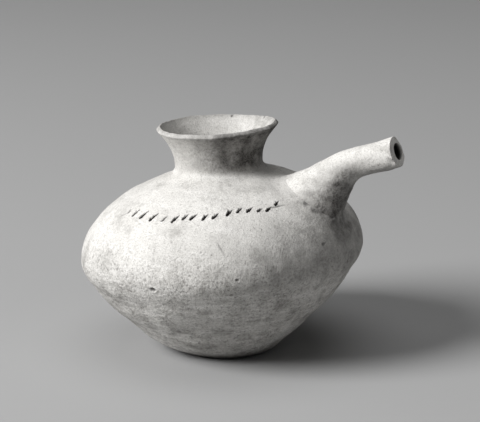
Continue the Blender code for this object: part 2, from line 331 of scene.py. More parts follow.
def smooth(share):
    """A soft step from 0 to 1."""
    share = min(max(share, 0.0), 1.0)
    return share * share * (3 - 2 * share)


def facing(point):
    """The level way out from the turning axis to a point."""
    turn = math.atan2(point.y, point.x)
    return Vector((math.cos(turn), math.sin(turn), 0.0))


def along(start, angle, run):
    """The point that lies run away from start, angle above the level."""
    return Vector((start[0] + run * math.cos(angle), start[1] + run * math.sin(angle)))


def only(obj):
    """Selects this object alone, in object mode, and makes it active."""
    if bpy.context.mode != "OBJECT":
        bpy.ops.object.mode_set(mode="OBJECT")
    bpy.ops.object.select_all(action="DESELECT")
    obj.select_set(True)
    bpy.context.view_layer.objects.active = obj


def edit(obj, mode="VERT"):
    """Opens an object's mesh for editing with nothing selected."""
    only(obj)
    bpy.ops.object.mode_set(mode="EDIT")
    bpy.ops.mesh.select_mode(type=mode)
    bpy.ops.mesh.select_all(action="DESELECT")


def close_edit():
    bpy.ops.object.mode_set(mode="OBJECT")


def select_faces(obj, chosen):
    """Selects the faces of the edit mesh that chosen says yes to."""
    shape = bmesh.from_edit_mesh(obj.data)
    for face in shape.faces:
        if chosen(face):
            face.select_set(True)
    bmesh.update_edit_mesh(obj.data)


def apply_modifier(obj, kind, name, **settings):
    modifier = obj.modifiers.new(name, kind)
    for key, value in settings.items():
        setattr(modifier, key, value)
    only(obj)
    bpy.ops.object.modifier_apply(modifier=modifier.name)


def weigh(obj, name, weights):
    group = obj.vertex_groups.new(name=name)
    for vertex, weight in zip(obj.data.vertices, weights):
        group.add([vertex.index], min(max(weight, 0.0), 1.0), "REPLACE")


# The body's skin, turned

def outline_knots():
    """The outline's turning points, each with the handle before it and the handle after it."""
    up = math.pi / 2
    inwards = math.pi - ROOT_ANGLE
    flare = up - RIM_FLARE
    base = Vector((BASE_RADIUS, 0.0))
    belly = Vector((BELLY_RADIUS, BELLY_HEIGHT))
    root = Vector((ROOT_RADIUS, ROOT_HEIGHT))
    waist = Vector((WAIST_RADIUS, WAIST_HEIGHT))
    rim = Vector((RIM_RADIUS, RIM_HEIGHT))
    return [
        (base, base, along(base, BASE_ANGLE, BASE_RUN)),
        (along(belly, up, -BELLY_RUN_BELOW), belly, along(belly, up, BELLY_RUN_ABOVE)),
        (along(root, inwards, -SHOULDER_RUN), root, along(root, inwards, FILLET_RUN)),
        (along(waist, up, -WAIST_RUN_BELOW), waist, along(waist, up, WAIST_RUN_ABOVE)),
        (along(rim, flare, -RIM_RUN), rim, along(rim, flare, LIP_REACH)),
    ]


def draw_stretch(before, after, steps):
    """One Bezier stretch of the outline, drawn as a curve and made a run of edges."""
    bpy.ops.curve.primitive_bezier_curve_add(location=(0, 0, 0))
    curve = bpy.context.object
    curve.data.resolution_u = steps
    for point, (left, middle, right) in zip(curve.data.splines[0].bezier_points, (before, after)):
        point.handle_left_type = "FREE"
        point.handle_right_type = "FREE"
        point.co = (middle[0], 0.0, middle[1])
        point.handle_left = (left[0], 0.0, left[1])
        point.handle_right = (right[0], 0.0, right[1])
    bpy.ops.object.convert(target="MESH")
    return bpy.context.object


def draw_outline():
    bpy.ops.object.select_all(action="DESELECT")
    knots = outline_knots()
    stretches = []
    for before, after, steps in zip(knots, knots[1:], OUTLINE_STEPS):
        stretches.append(draw_stretch(before, after, steps))
    for stretch in stretches:
        stretch.select_set(True)
    bpy.context.view_layer.objects.active = stretches[0]
    bpy.ops.object.join()
    return bpy.context.object


def select_corner(obj, radius, height):
    """Selects the outline's corner at this radius and height."""
    bpy.ops.mesh.select_all(action="DESELECT")
    shape = bmesh.from_edit_mesh(obj.data)
    place = Vector((radius, 0.0, height))
    nearest = min(shape.verts, key=lambda vertex: (vertex.co - place).length)
    nearest.select_set(True)
    bmesh.update_edit_mesh(obj.data)


def turn_skin():
    """The whole outer skin: the outline, run on to the lip's crest and in to the axis, and turned."""
    skin = draw_outline()
    edit(skin)
    bpy.ops.mesh.select_all(action="SELECT")
    bpy.ops.mesh.remove_doubles(threshold=WELD)
    select_corner(skin, RIM_RADIUS, RIM_HEIGHT)
    crest = Vector((LIP_REACH * math.sin(RIM_FLARE), 0.0, LIP_REACH * math.cos(RIM_FLARE)))
    bpy.ops.mesh.extrude_vertices_move(TRANSFORM_OT_translate={"value": crest})
    select_corner(skin, BASE_RADIUS, 0.0)
    inward = Vector((-BASE_RADIUS / BASE_STEPS, 0.0, 0.0))
    for _ in range(BASE_STEPS):
        bpy.ops.mesh.extrude_vertices_move(TRANSFORM_OT_translate={"value": inward})
    close_edit()
    apply_modifier(
        skin, "SCREW", "turn", axis="Z", angle=2 * math.pi, steps=TURN_STEPS, render_steps=TURN_STEPS,
        use_merge_vertices=True, merge_threshold=WELD,
    )
    edit(skin)
    bpy.ops.mesh.select_all(action="SELECT")
    bpy.ops.mesh.remove_doubles(threshold=WELD)
    bpy.ops.mesh.normals_make_consistent(inside=True)
    close_edit()
    return skin


def cut_seams(skin):
    """Cuts the skin through at the seams, and notes each face's piece and the points on the seams."""
    edit(skin)
    for height in SEAMS:
        bpy.ops.mesh.select_all(action="SELECT")
        bpy.ops.mesh.bisect(plane_co=(0, 0, height), plane_no=(0, 0, 1), threshold=WELD)
    close_edit()
    mark = skin.data.attributes.new("piece", "INT", "FACE")
    for face in skin.data.polygons:
        mark.data[face.index].value = sum(face.center.z > seam for seam in SEAMS)
    on_seam = skin.data.attributes.new("on_seam", "BOOLEAN", "POINT")
    for vertex in skin.data.vertices:
        on_seam.data[vertex.index].value = any(abs(vertex.co.z - seam) < 2 * WELD for seam in SEAMS)


# Marks in the clay

def unrolled(point, normal, height, degrees):
    """Where a place on the skin lies from a mark, sideways and up the slope."""
    turn = math.atan2(point.y, point.x) - math.radians(degrees)
    sideways = math.remainder(turn, 2 * math.pi) * math.hypot(point.x, point.y)
    return sideways, (point.z - height) / max(math.hypot(normal.x, normal.y), 0.2)


def to_score(point, normal, score):
    """The distance to a scored line, and the share of the line passed at the nearest place."""
    start_height, start_turn, end_height, end_turn, _ = score
    place = Vector(unrolled(point, normal, start_height, start_turn))
    run = place - Vector(unrolled(point, normal, end_height, end_turn))
    share = min(max(place.dot(run) / run.dot(run), 0.0), 1.0)
    return (place - share * run).length, share


def near_slashes(point, normal):
    if abs(point.z - SLASH_HEIGHT) > SLASH_LENGTH:
        return False
    for degrees, _, _ in SLASHES:
        sideways, upwards = unrolled(point, normal, SLASH_HEIGHT, degrees)
        if abs(sideways) < 0.6 * SLASH_LENGTH and abs(upwards) < SLASH_LENGTH:
            return True
    return False


def near_scores(point, normal):
    return point.y < 0 and any(to_score(point, normal, score)[0] < 1.5 * SCORE_WIDTH for score in SCORES)


def near_pits(point, normal):
    for height, degrees, radius, _ in PITS:
        if math.hypot(*unrolled(point, normal, height, degrees)) < PIT_REACH * radius:
            return True
    return False


def refine(skin, cuts, chosen):
    """Makes the mesh finer where chosen says so."""
    edit(skin, "FACE")
    select_faces(skin, lambda face: chosen(face.calc_center_median(), face.normal))
    bpy.ops.mesh.subdivide(number_cuts=cuts, smoothness=0.0)
    close_edit()


def slash_depth(across, ahead, strength):
    """Depth of a slash, and the dirt and painted shade in its hollow: pressed deep at its lower end and
    drawn out to a thin tail.
    """
    share = ahead / (SLASH_LENGTH * (0.5 + 0.5 * strength)) + 0.42
    if not 0.0 < share < 1.0:
        return 0.0, 0.0
    body = math.sin(math.pi * share ** 0.55)
    half = SLASH_WIDTH / 2 * (0.22 + 0.78 * body) * (0.55 + 0.45 * strength)
    hollow = max(1 - (across / half) ** 2, 0.0)
    burr = math.exp(-((abs(across) - 1.25 * half) / (0.35 * half)) ** 2)
    depth = SLASH_DEPTH * strength * body * (hollow - 0.18 * burr)
    return depth, min(1.6 * hollow * math.sqrt(body) * strength, 1.0)


def slash_marks(point, normal):
    """Each slash that may touch a place, as depth and the dirt and painted shade in it, with the fork that
    some of them have.
    """
    for index, (degrees, rise, strength) in enumerate(SLASHES):
        sideways, upwards = unrolled(point, normal, SLASH_HEIGHT + rise, degrees)
        if max(abs(sideways), abs(upwards)) < SLASH_LENGTH:
            stray = noise.noise(Vector((3.7 * index, 1.3, 0.4)))
            slant = SLASH_SLANT + math.radians(SLASH_STEEPENING * (SLASH_MIDDLE - degrees)) + 0.2 * stray
            ragged = 0.55 * MM * noise.noise(point / (0.9 * MM))
            fork = 0.5 + 0.9 * stray if upwards > 0 else 0.0
            for turned, share in ((0.0, 1.0), (SLASH_FORK, fork)):
                ahead = sideways * math.cos(slant + turned) + upwards * math.sin(slant + turned)
                across = sideways * math.sin(slant + turned) - upwards * math.cos(slant + turned) + ragged
                yield slash_depth(across, ahead, share * strength)


def score_marks(point, normal):
    for score in SCORES:
        distance, share = to_score(point, normal, score)
        if distance < SCORE_WIDTH:
            hollow = (1 - distance / SCORE_WIDTH) * math.sin(math.pi * min(max(share, 0.04), 0.96))
            # The line's depth, and dirt with painted shade in its hollow
            yield score[-1] * hollow, 0.7 * hollow * score[-1] / SCORES[0][-1]


def pit_marks(point, normal):
    for height, degrees, radius, depth in PITS:
        sideways, upwards = unrolled(point, normal, height, degrees)
        ragged = 1 + 0.45 * noise.noise(point / (1.6 * MM))
        share = math.hypot(sideways * 0.8, upwards * 1.2) / (radius * ragged)
        if share < PIT_REACH:
            hollow = max(1 - share * share, 0.0)
            burr = math.exp(-((share - 1.25) / 0.3) ** 2)
            # The pit's depth, and dirt with painted shade in its hollow
            yield depth * (hollow - 0.12 * burr), hollow * min(depth / MM, 0.85)


def plan_marks(skin):
    """Notes how deep the marks are pressed in at each point, the dirt and painted shade in them, and
    painted shadow on the foot.
    """
    mesh = skin.data
    depths = mesh.attributes.new("depth", "FLOAT", "POINT")
    dirt_and_shades = mesh.attributes.new("dirt_and_shade", "FLOAT", "POINT")
    for vertex in mesh.vertices:
        if vertex.co.z < LEAN_RISE:
            # Painted shadow where the foot meets the ground
            dirt_and_shades.data[vertex.index].value = FOOT_SHADE * smooth(1.2 - vertex.co.z / FOOT_SHADE_RISE)
        if vertex.co.y > 0 or vertex.co.z < LEAN_RISE:
            continue
        marks = list(score_marks(vertex.co, vertex.normal)) + list(pit_marks(vertex.co, vertex.normal))
        if near_slashes(vertex.co, vertex.normal):
            marks += slash_marks(vertex.co, vertex.normal)
        if marks:
            depths.data[vertex.index].value = max((depth for depth, _ in marks), key=abs)
            dirt_and_shades.data[vertex.index].value = max(dirt_and_shade for _, dirt_and_shade in marks)


def press_marks(piece, count):
    """Presses the planned marks into the outer points, which come first, and paints shade evenly over the
    inside.
    """
    mesh = piece.data
    for inner in mesh.attributes["painted_shade"].data[count:]:
        inner.value = INSIDE_SHADE
    depths = mesh.attributes["depth"].data
    flow = mesh.attributes["flow"].data
    moved = []
    for vertex in mesh.vertices[:count]:
        depth = depths[vertex.index].value
        if depth:
            noted = flow[vertex.index].vector
            moved.append((vertex.index, depth * (noted if noted.length > 0.5 else vertex.normal)))
    for index, move in moved:
        mesh.vertices[index].co -= move


# The unevenness of a vessel made by hand

def wear_lip(skin):
    """Small soiled nicks and an uneven crest along the lip."""
    dirt_and_shades = skin.data.attributes["dirt_and_shade"].data
    for vertex in skin.data.vertices:
        reach = smooth((vertex.co.z - RIM_HEIGHT + LIP_DEPTH) / LIP_DEPTH)
        if reach <= 0:
            continue
        turn = math.atan2(vertex.co.y, vertex.co.x)
        around = facing(vertex.co)
        drop = LIP_SWING * noise.noise(LIP_SWING_WAVES * around)
        drop += LIP_RIPPLE * noise.noise(LIP_RIPPLE_WAVES * around)
        for degrees, strength in NICKS:
            away = math.remainder(turn - math.radians(degrees), 2 * math.pi) * RIM_RADIUS / NICK_WIDTH
            below = (RIM_HEIGHT - NICK_WIDTH - vertex.co.z) / NICK_WIDTH
            nick = strength * math.exp(-away * away - below * below)
            drop += NICK_DEPTH * nick
            dirt_and_shades[vertex.index].value += nick
        patchy = 0.6 + 0.4 * noise.noise(vertex.co / LIP_SOIL_SIZE)
        dirt_and_shades[vertex.index].value += LIP_SOIL * reach ** 4 * patchy
        vertex.co -= drop * reach * (Vector((0, 0, 1)) + 0.5 * around)


def wall_share(height):
    """The wall's thickness at this height, as a share of the body's."""
    neck, lip = NECK_WALL / WALL, LIP_WALL / WALL
    if height < WAIST_HEIGHT:
        return 1 + (neck - 1) * smooth((height - ROOT_HEIGHT) / (WAIST_HEIGHT - ROOT_HEIGHT))
    return neck + (lip - neck) * min((height - WAIST_HEIGHT) / (RIM_HEIGHT - WAIST_HEIGHT), 1.0)


def uneven(obj, name, grain, swing, group):
    """A cloud pattern of this grain pushed along the normals, both ways."""
    texture = bpy.data.textures.new(name, "CLOUDS")
    texture.noise_scale = grain
    texture.noise_depth = 2
    apply_modifier(
        obj, "DISPLACE", name, texture=texture, texture_coords="LOCAL", direction="NORMAL",
        strength=2 * swing, mid_level=0.5, vertex_group=group,
    )


def wander(skin):
    """Lets the widest line of the belly rise and fall a little round the vessel."""
    for vertex in skin.data.vertices:
        reach = max(1 - (abs(vertex.co.z - BELLY_HEIGHT) / BELLY_WANDER_REACH) ** 2, 0.0) ** 2
        if reach > 0:
            around = BELLY_WANDER_WAVES * facing(vertex.co)
            vertex.co.z += BELLY_WANDER * reach * (noise.noise(around) + 0.5 * noise.noise(2.7 * around))


def painted_shade(skin, amount_at):
    """Notes how much painted shade darkens each point."""
    painted_shades = skin.data.attributes.new("painted_shade", "FLOAT", "POINT")
    for vertex in skin.data.vertices:
        painted_shades.data[vertex.index].value = amount_at(vertex)


def body_painted_shade(vertex):
    """Painted shade on the side away from the lamp, mottled like a stain: the neck is dark there, and the
    belly a little.
    """
    side = vertex.co.dot(Vector((math.cos(SHADE_TURN), math.sin(SHADE_TURN), 0.0)))
    neck = smooth((vertex.co.z - ROOT_HEIGHT - NECK_SHADE_START) / NECK_SHADE_RUN)
    neck *= smooth((side + NECK_SHADE_SIDE) / NECK_SHADE_SPREAD)
    belly = smooth((vertex.co.z - BELLY_SHADE_START) / BELLY_SHADE_RUN)
    belly *= smooth((side + BELLY_SHADE_SIDE) / BELLY_SHADE_SPREAD)
    belly *= smooth((ROOT_HEIGHT - vertex.co.z) / BELLY_SHADE_FADE)
    return max(NECK_SHADE * neck, BELLY_SHADE * belly)


def spout_painted_shade(vertex):
    """Painted shade on the undersides: the collar is darkest low down, and the tube only where it looks at
    the ground.
    """
    root = smooth((COLLAR_SHADE_END - vertex.co.x) / COLLAR_SHADE_RUN)
    collar = COLLAR_SHADE * root * smooth((0.7 - vertex.normal.z) / 1.05)
    tube = TUBE_SHADE * smooth(-vertex.normal.z - 0.1)
    return max(collar, tube)


def scrape(skin):
    """The level bands and facets that a scraper left on the lower bowl."""
    normals = [vertex.normal.copy() for vertex in skin.data.vertices]
    for vertex, normal in zip(skin.data.vertices, normals):
        height = vertex.co.z
        reach = smooth((height - SCRAPE_START) / SCRAPE_RUN) * smooth((BELLY_HEIGHT - height) / SCRAPE_FADE)
        if reach > 0:
            around = SCRAPE_WAVES * facing(vertex.co)
            facet = noise.noise(around + Vector((0, 0, height / FACET_HEIGHT)))
            drift = height - BAND_HEIGHT + BAND_DRIFT * noise.noise(1.5 * around)
            band = math.cos(2 * math.pi * drift / BAND_PITCH)
            vertex.co += (SCRAPE_DEPTH * reach * facet + BAND_DEPTH * reach * band) * normal


def settle(point):
    """Where a turned point comes to lie once the vessel leans back and its lip dips on one side."""
    x, y, height = point
    tilt = LEAN * smooth(height / LEAN_RISE)
    up_neck = min(max((height - WAIST_HEIGHT) / (RIM_HEIGHT - WAIST_HEIGHT), 0.0), 1.0)
    turn = math.atan2(y, x)
    sink = LIP_SINK * (1 + math.cos(turn - LIP_SINK_TURN)) / 2
    peak = LIP_PEAK * math.exp(-((turn - LIP_SINK_TURN) / LIP_PEAK_REACH) ** 2)
    wave = up_neck * up_neck * (LIP_WAVE * math.cos(2 * turn) - sink + peak)
    return Vector((x * math.cos(tilt) - DRIFT * height, y, height + x * math.sin(tilt) + wave))


def body_skin():
    skin = turn_skin()
    refine(skin, cuts=3, chosen=near_slashes)
    refine(skin, cuts=2, chosen=near_scores)
    refine(skin, cuts=3, chosen=near_pits)
    cut_seams(skin)
    plan_marks(skin)
    heights = [vertex.co.z for vertex in skin.data.vertices]
    weigh(skin, "wall", [wall_share(height) for height in heights])
    weigh(skin, "free", [smooth((height - FREE_START) / FREE_RUN) for height in heights])
    for name, grain, swing in UNEVENNESS:
        uneven(skin, name, grain, swing, "free")
    scrape(skin)
    wander(skin)
    wear_lip(skin)
    for vertex in skin.data.vertices:
        vertex.co = settle(vertex.co)
    painted_shade(skin, body_painted_shade)
    return skin


# The spout's skin, walked along its axis

def bend_angle():
    return SPOUT_LEAVE - SPOUT_TIP_ANGLE


def bend_end():
    """The distance along the spout's axis at which the bend ends."""
    return SPOUT_STEM + SPOUT_BEND_RADIUS * bend_angle()


def spout_tip():
    return bend_end() + SPOUT_TUBE


def on_axis(distance):
    """The point of the spout's axis this far out of the shoulder, and the axis's angle there."""
    straight = min(distance, SPOUT_STEM)
    point = SPOUT_ROOT + straight * Vector((math.cos(SPOUT_LEAVE), 0.0, math.sin(SPOUT_LEAVE)))
    turned_by = min(max((distance - SPOUT_STEM) / SPOUT_BEND_RADIUS, 0.0), bend_angle())
    angle = SPOUT_LEAVE - turned_by
    point.x += SPOUT_BEND_RADIUS * (math.sin(SPOUT_LEAVE) - math.sin(angle))
    point.z += SPOUT_BEND_RADIUS * (math.cos(angle) - math.cos(SPOUT_LEAVE))
    onwards = max(distance - bend_end(), 0.0)
    return point + onwards * Vector((math.cos(angle), 0.0, math.sin(angle))), angle


def flare_at(distance):
    """How far the collar has swelled here: 0 at its top and 1 at its root."""
    return max((COLLAR_LENGTH - distance) / COLLAR_LENGTH, 0.0) ** COLLAR_FLARE


def outer_radius(distance):
    return SPOUT_RADIUS + flare_at(distance) * (COLLAR_RADIUS - SPOUT_RADIUS)


def width_share(distance):
    """The collar's width as a share of its depth."""
    width = SPOUT_RADIUS + flare_at(distance) * (COLLAR_WIDTH - SPOUT_RADIUS)
    return width / outer_radius(distance)


def distances(start, end):
    count = max(round(abs(end - start) / TUBE_STEP), 1)
    return [start + (end - start) * step / count for step in range(count + 1)]


def collar_places():
    return distances(-COLLAR_BED, 0.0)[:-1] + distances(0.0, COLLAR_LENGTH)[:-1]


def quarter_turns():
    return [math.pi / 2 * step / ROUNDING_STEPS for step in range(ROUNDING_STEPS + 1)]


def outer_rings():
    """The outside as rings of distance and radius, along the collar and tube and over the rounded tip."""
    places = collar_places() + distances(COLLAR_LENGTH, spout_tip() - TIP_ROUNDING)[:-1]
    over = [(spout_tip() - TIP_ROUNDING * (1 - math.sin(turn)),
             SPOUT_RADIUS - TIP_ROUNDING * (1 - math.cos(turn))) for turn in quarter_turns()]
    return [(place, outer_radius(place)) for place in places] + over


def bore_rings():
    """The flat of the tip, rounded into the bore, and the bore down to the tenon's end."""
    flat = [(spout_tip(), (SPOUT_RADIUS + BORE_RADIUS) / 2)]
    into = [(spout_tip() - BORE_ROUNDING * (1 - math.cos(turn)),
             BORE_RADIUS + BORE_ROUNDING * (1 - math.sin(turn))) for turn in quarter_turns()]
    return flat + into + [(place, BORE_RADIUS) for place in distances(into[-1][0], TENON_END)[1:]]


def tenon_rings():
    return [(place, TENON_RADIUS) for place in distances(TENON_END, COLLAR_LENGTH)]


def spout_rings():
    """Every ring of the skin: out along the outside, in along the bore, and up the tenon's side."""
    return outer_rings() + bore_rings() + tenon_rings()


def walk_rings(rings):
    """A circle that is extruded, turned and resized from ring to ring."""
    place, radius = rings[0]
    centre, angle = on_axis(place)
    bpy.ops.object.select_all(action="DESELECT")
    bpy.ops.mesh.primitive_circle_add(
        vertices=TUBE_SIDES, radius=radius, location=centre, rotation=(0.0, math.pi / 2 - angle, 0.0))
    skin = bpy.context.object
    bpy.ops.object.transform_apply(location=True, rotation=True, scale=True)
    edit(skin)
    bpy.ops.mesh.select_all(action="SELECT")
    for place, next_radius in rings[1:]:
        next_centre, next_angle = on_axis(place)
        bpy.ops.mesh.extrude_edges_move(TRANSFORM_OT_translate={"value": next_centre - centre})
        if next_angle != angle:
            bpy.ops.transform.rotate(value=next_angle - angle, orient_axis="Y", center_override=next_centre)
        if next_radius != radius:
            ratio = next_radius / radius
            bpy.ops.transform.resize(value=(ratio, ratio, ratio), center_override=next_centre)
        centre, angle, radius = next_centre, next_angle, next_radius
    bpy.ops.mesh.select_all(action="SELECT")
    bpy.ops.mesh.normals_make_consistent(inside=False)
    close_edit()
    return skin


def pinch(skin, rings):
    """Makes the collar oval and sagging, the outside lumpy and its end chipped, and shifts the bore."""
    dirt_and_shades = skin.data.attributes.new("dirt_and_shade", "FLOAT", "POINT")
    first_bore = len(outer_rings())
    first_tenon = first_bore + len(bore_rings())
    for vertex in skin.data.vertices:
        ring = vertex.index // TUBE_SIDES
        place, radius = rings[ring]
        if ring < first_bore:
            centre, angle = on_axis(place)
            vertex.co.y *= width_share(place)
            vertex.co += COLLAR_SAG * flare_at(place) * Vector((math.sin(angle), 0.0, -math.cos(angle)))
            lump = LUMP_SWING * noise.noise(vertex.co / LUMP_SIZE)
            lump += BUMP_SWING * noise.noise(vertex.co / BUMP_SIZE)
            near_tip = smooth(1 - (spout_tip() - place) / CHIP_REACH)
            chip = CHIP_DEPTH * near_tip * max(noise.noise(vertex.co / CHIP_SIZE + CHIP_PATTERN), 0.0)
            vertex.co += (lump - chip) * (vertex.co - centre).normalized()
        elif ring < first_tenon:
            flat = SPOUT_RADIUS - BORE_RADIUS - TIP_ROUNDING
            share = min((SPOUT_RADIUS - TIP_ROUNDING - radius) / flat, 1.0)
            vertex.co.y += BORE_SHIFT * share * smooth(1 - (spout_tip() - place) / BORE_SHIFT_RUN)
            # Painted shade inside the bore
            dirt_and_shades.data[vertex.index].value = smooth((spout_tip() - place) / BORE_SHADE_RUN)


def spout_skin():
    rings = spout_rings()
    skin = walk_rings(rings)
    pinch(skin, rings)
    mesh = skin.data
    ring_of = [vertex.index // TUBE_SIDES for vertex in mesh.vertices]
    weigh(skin, "wall", [(rings[ring][1] - TENON_RADIUS) / COLLAR_RADIUS for ring in ring_of])
    seam = len(collar_places())
    mark = mesh.attributes.new("piece", "INT", "FACE")
    for face in mesh.polygons:
        mark.data[face.index].value = 0 if min(ring_of[index] for index in face.vertices) < seam else 1
    mesh.attributes.new("depth", "FLOAT", "POINT")
    painted_shade(skin, spout_painted_shade)
    on_seam = mesh.attributes.new("on_seam", "BOOLEAN", "POINT")
    for index, ring in enumerate(ring_of):
        on_seam.data[index].value = ring == seam
    return skin


def seat_spout(body, spout):
    """Opens the shoulder for the spout's tenon and draws the clay up to the collar."""
    stem = Vector((math.cos(SPOUT_LEAVE), 0.0, math.sin(SPOUT_LEAVE)))

    def from_stem(point):
        away = point - SPOUT_ROOT
        return away - away.dot(stem) * stem

    def near_root(point):
        return (point - SPOUT_ROOT).length < 2 * COLLAR_RADIUS

    def grime(point, distance):
        """Soil caught in the corner below the collar, in patches."""
        low = smooth(from_stem(point).normalized().dot(GRIME_WAY))
        caught = smooth(1 - distance / COLLAR_GRIME) * smooth(0.45 + 1.4 * noise.noise(point / GRIME_SIZE))
        return GRIME * low * caught

    bpy.context.view_layer.update()
    graph = bpy.context.evaluated_depsgraph_get()
    from_spout = BVHTree.FromObject(spout, graph)
    from_body = BVHTree.FromObject(body, graph)
    dirt_and_shades = body.data.attributes["dirt_and_shade"].data
    painted_shades = body.data.attributes["painted_shade"].data
    rises = []
    for vertex in body.data.vertices:
        if near_root(vertex.co):
            nearest, outwards, _, distance = from_spout.find_nearest(vertex.co)
            if (vertex.co - nearest).dot(outwards) < 0:
                distance = -min(distance, COLLAR_FILLET_DEPTH)
            rise = max(1 - distance / COLLAR_FILLET, 0.0) ** 2
            rises.append((vertex.index, COLLAR_FILLET_RISE * rise * vertex.normal))
            dirt_and_shades[vertex.index].value += grime(vertex.co, distance)
            # Painted shade in a halo round the collar
            painted_shades[vertex.index].value += COLLAR_SHADE_HALO * smooth(1 - distance / COLLAR_SHADE_HALO_REACH)
    for index, move in rises:
        body.data.vertices[index].co += move
    dirt_and_shades = spout.data.attributes["dirt_and_shade"].data
    for vertex in spout.data.vertices[:len(collar_places()) * TUBE_SIDES]:
        dirt_and_shades[vertex.index].value += grime(vertex.co, from_body.find_nearest(vertex.co)[3])

    def in_socket(face):
        middle = face.calc_center_median()
        return near_root(middle) and from_stem(middle).length < SOCKET_RADIUS

    edit(body, "FACE")
    select_faces(body, in_socket)
    bpy.ops.mesh.delete(type="FACE")
    shape = bmesh.from_edit_mesh(body.data)
    for vertex in shape.verts:
        if vertex.is_boundary and near_root(vertex.co):
            away = from_stem(vertex.co)
            vertex.co += away.normalized() * SOCKET_RADIUS - away
    bmesh.update_edit_mesh(body.data)
    close_edit()


# Taking the skins apart into pieces with walls

def keep_seam_normals(skin):
    """Notes the smooth normal of each point on a seam, so that the pieces are lit as one surface there."""
    mesh = skin.data
    flow = mesh.attributes.new("flow", "FLOAT_VECTOR", "POINT")
    on_seam = mesh.attributes["on_seam"].data
    for vertex in mesh.vertices:
        if on_seam[vertex.index].value:
            flow.data[vertex.index].vector = vertex.normal


def take_off(skin, number):
    """Separates the faces marked with this number into a piece of their own."""
    edit(skin, "FACE")
    layer = bmesh.from_edit_mesh(skin.data).faces.layers.int["piece"]
    select_faces(skin, lambda face: face[layer] == number)
    bpy.ops.mesh.separate(type="SELECTED")
    close_edit()
    return [obj for obj in bpy.context.selected_objects if obj != skin][0]


def mark_outside(piece, count):
    """Notes which faces are the skin that was there before the piece was closed."""
    mark = piece.data.attributes.new("outside", "INT", "FACE")
    for index in range(count):
        mark.data[index].value = 1


def thicken(piece, wall):
    """Gives a piece of skin its wall, on the inner side, and its marks."""
    points, faces = len(piece.data.vertices), len(piece.data.polygons)
    apply_modifier(
        piece, "SOLIDIFY", "wall", thickness=wall, offset=-1.0, vertex_group="wall", use_rim=True,
    )
    mark_outside(piece, faces)
    press_marks(piece, points)


def round_lip(neck):
    """Rounds both edges of the lip."""
    edit(neck, "EDGE")
    shape = bmesh.from_edit_mesh(neck.data)
    crest = settle(Vector((0.0, 0.0, RIM_HEIGHT - LIP_DEPTH))).z
    for edge in shape.edges:
        if edge.verts[0].co.z > crest and edge.calc_face_angle(0.0) > SHARP_ANGLE:
            edge.select_set(True)
    bmesh.update_edit_mesh(neck.data)
    bpy.ops.mesh.bevel(offset=LIP_ROUNDING, segments=ROUNDING_STEPS, affect="EDGES", clamp_overlap=True)
    close_edit()


def close_spout(spout):
    """Closes the ring between the tube's outside and its tenon."""
    faces = len(spout.data.polygons)
    edit(spout, "EDGE")
    bpy.ops.mesh.select_non_manifold()
    bpy.ops.mesh.bridge_edge_loops()
    close_edit()
    mark_outside(spout, faces)


def shade(piece):
    """Smooth shading, with the noted normals along the seams."""
    mesh = piece.data
    mesh.shade_smooth()
    mesh.set_sharp_from_angle(angle=SHARP_ANGLE)
    flow = mesh.attributes["flow"].data
    outside = mesh.attributes["outside"].data
    normals = [corner.vector.copy() for corner in mesh.corner_normals]
    for face in mesh.polygons:
        if outside[face.index].value:
            for corner in face.loop_indices:
                noted = flow[mesh.loops[corner].vertex_index].vector
                if noted.length > 0.5:
                    normals[corner] = noted.normalized()
    mesh.normals_split_custom_set(normals)


def hand_over(piece, node, material):
    """Names the solid that a piece stands for and what it is made of."""
    piece.name = "ewer_" + node
    piece.data.materials.clear()
    piece.data.materials.append(material)
    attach(piece, "root")
    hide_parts(node)


def make_ewer():
    clay = fired_clay()
    body = body_skin()
    spout = spout_skin()
    seat_spout(body, spout)
    keep_seam_normals(body)
    keep_seam_normals(spout)
    pieces = {}
    for number, node in enumerate(PIECES):
        pieces[node] = body if node == PIECES[-1] else take_off(body, number)
        thicken(pieces[node], WALL)
    round_lip(pieces["neck"])
    pieces["spout_collar"] = take_off(spout, 0)
    thicken(pieces["spout_collar"], COLLAR_RADIUS)
    pieces["spout"] = spout
    close_spout(spout)
    for node, piece in pieces.items():
        shade(piece)
        hand_over(piece, node, clay)


# Materials

def add_node(tree, kind, settings, links=None):
    """Adds a node, sets its properties and sockets, and links each socket named in links."""
    made = tree.nodes.new(kind)
    for key, value in settings.items():
        if isinstance(key, str) and hasattr(made, key):
            setattr(made, key, value)
        else:
            made.inputs[key].default_value = value
    for socket, source in (links or {}).items():
        tree.links.new(source, made.inputs[socket])
    return made


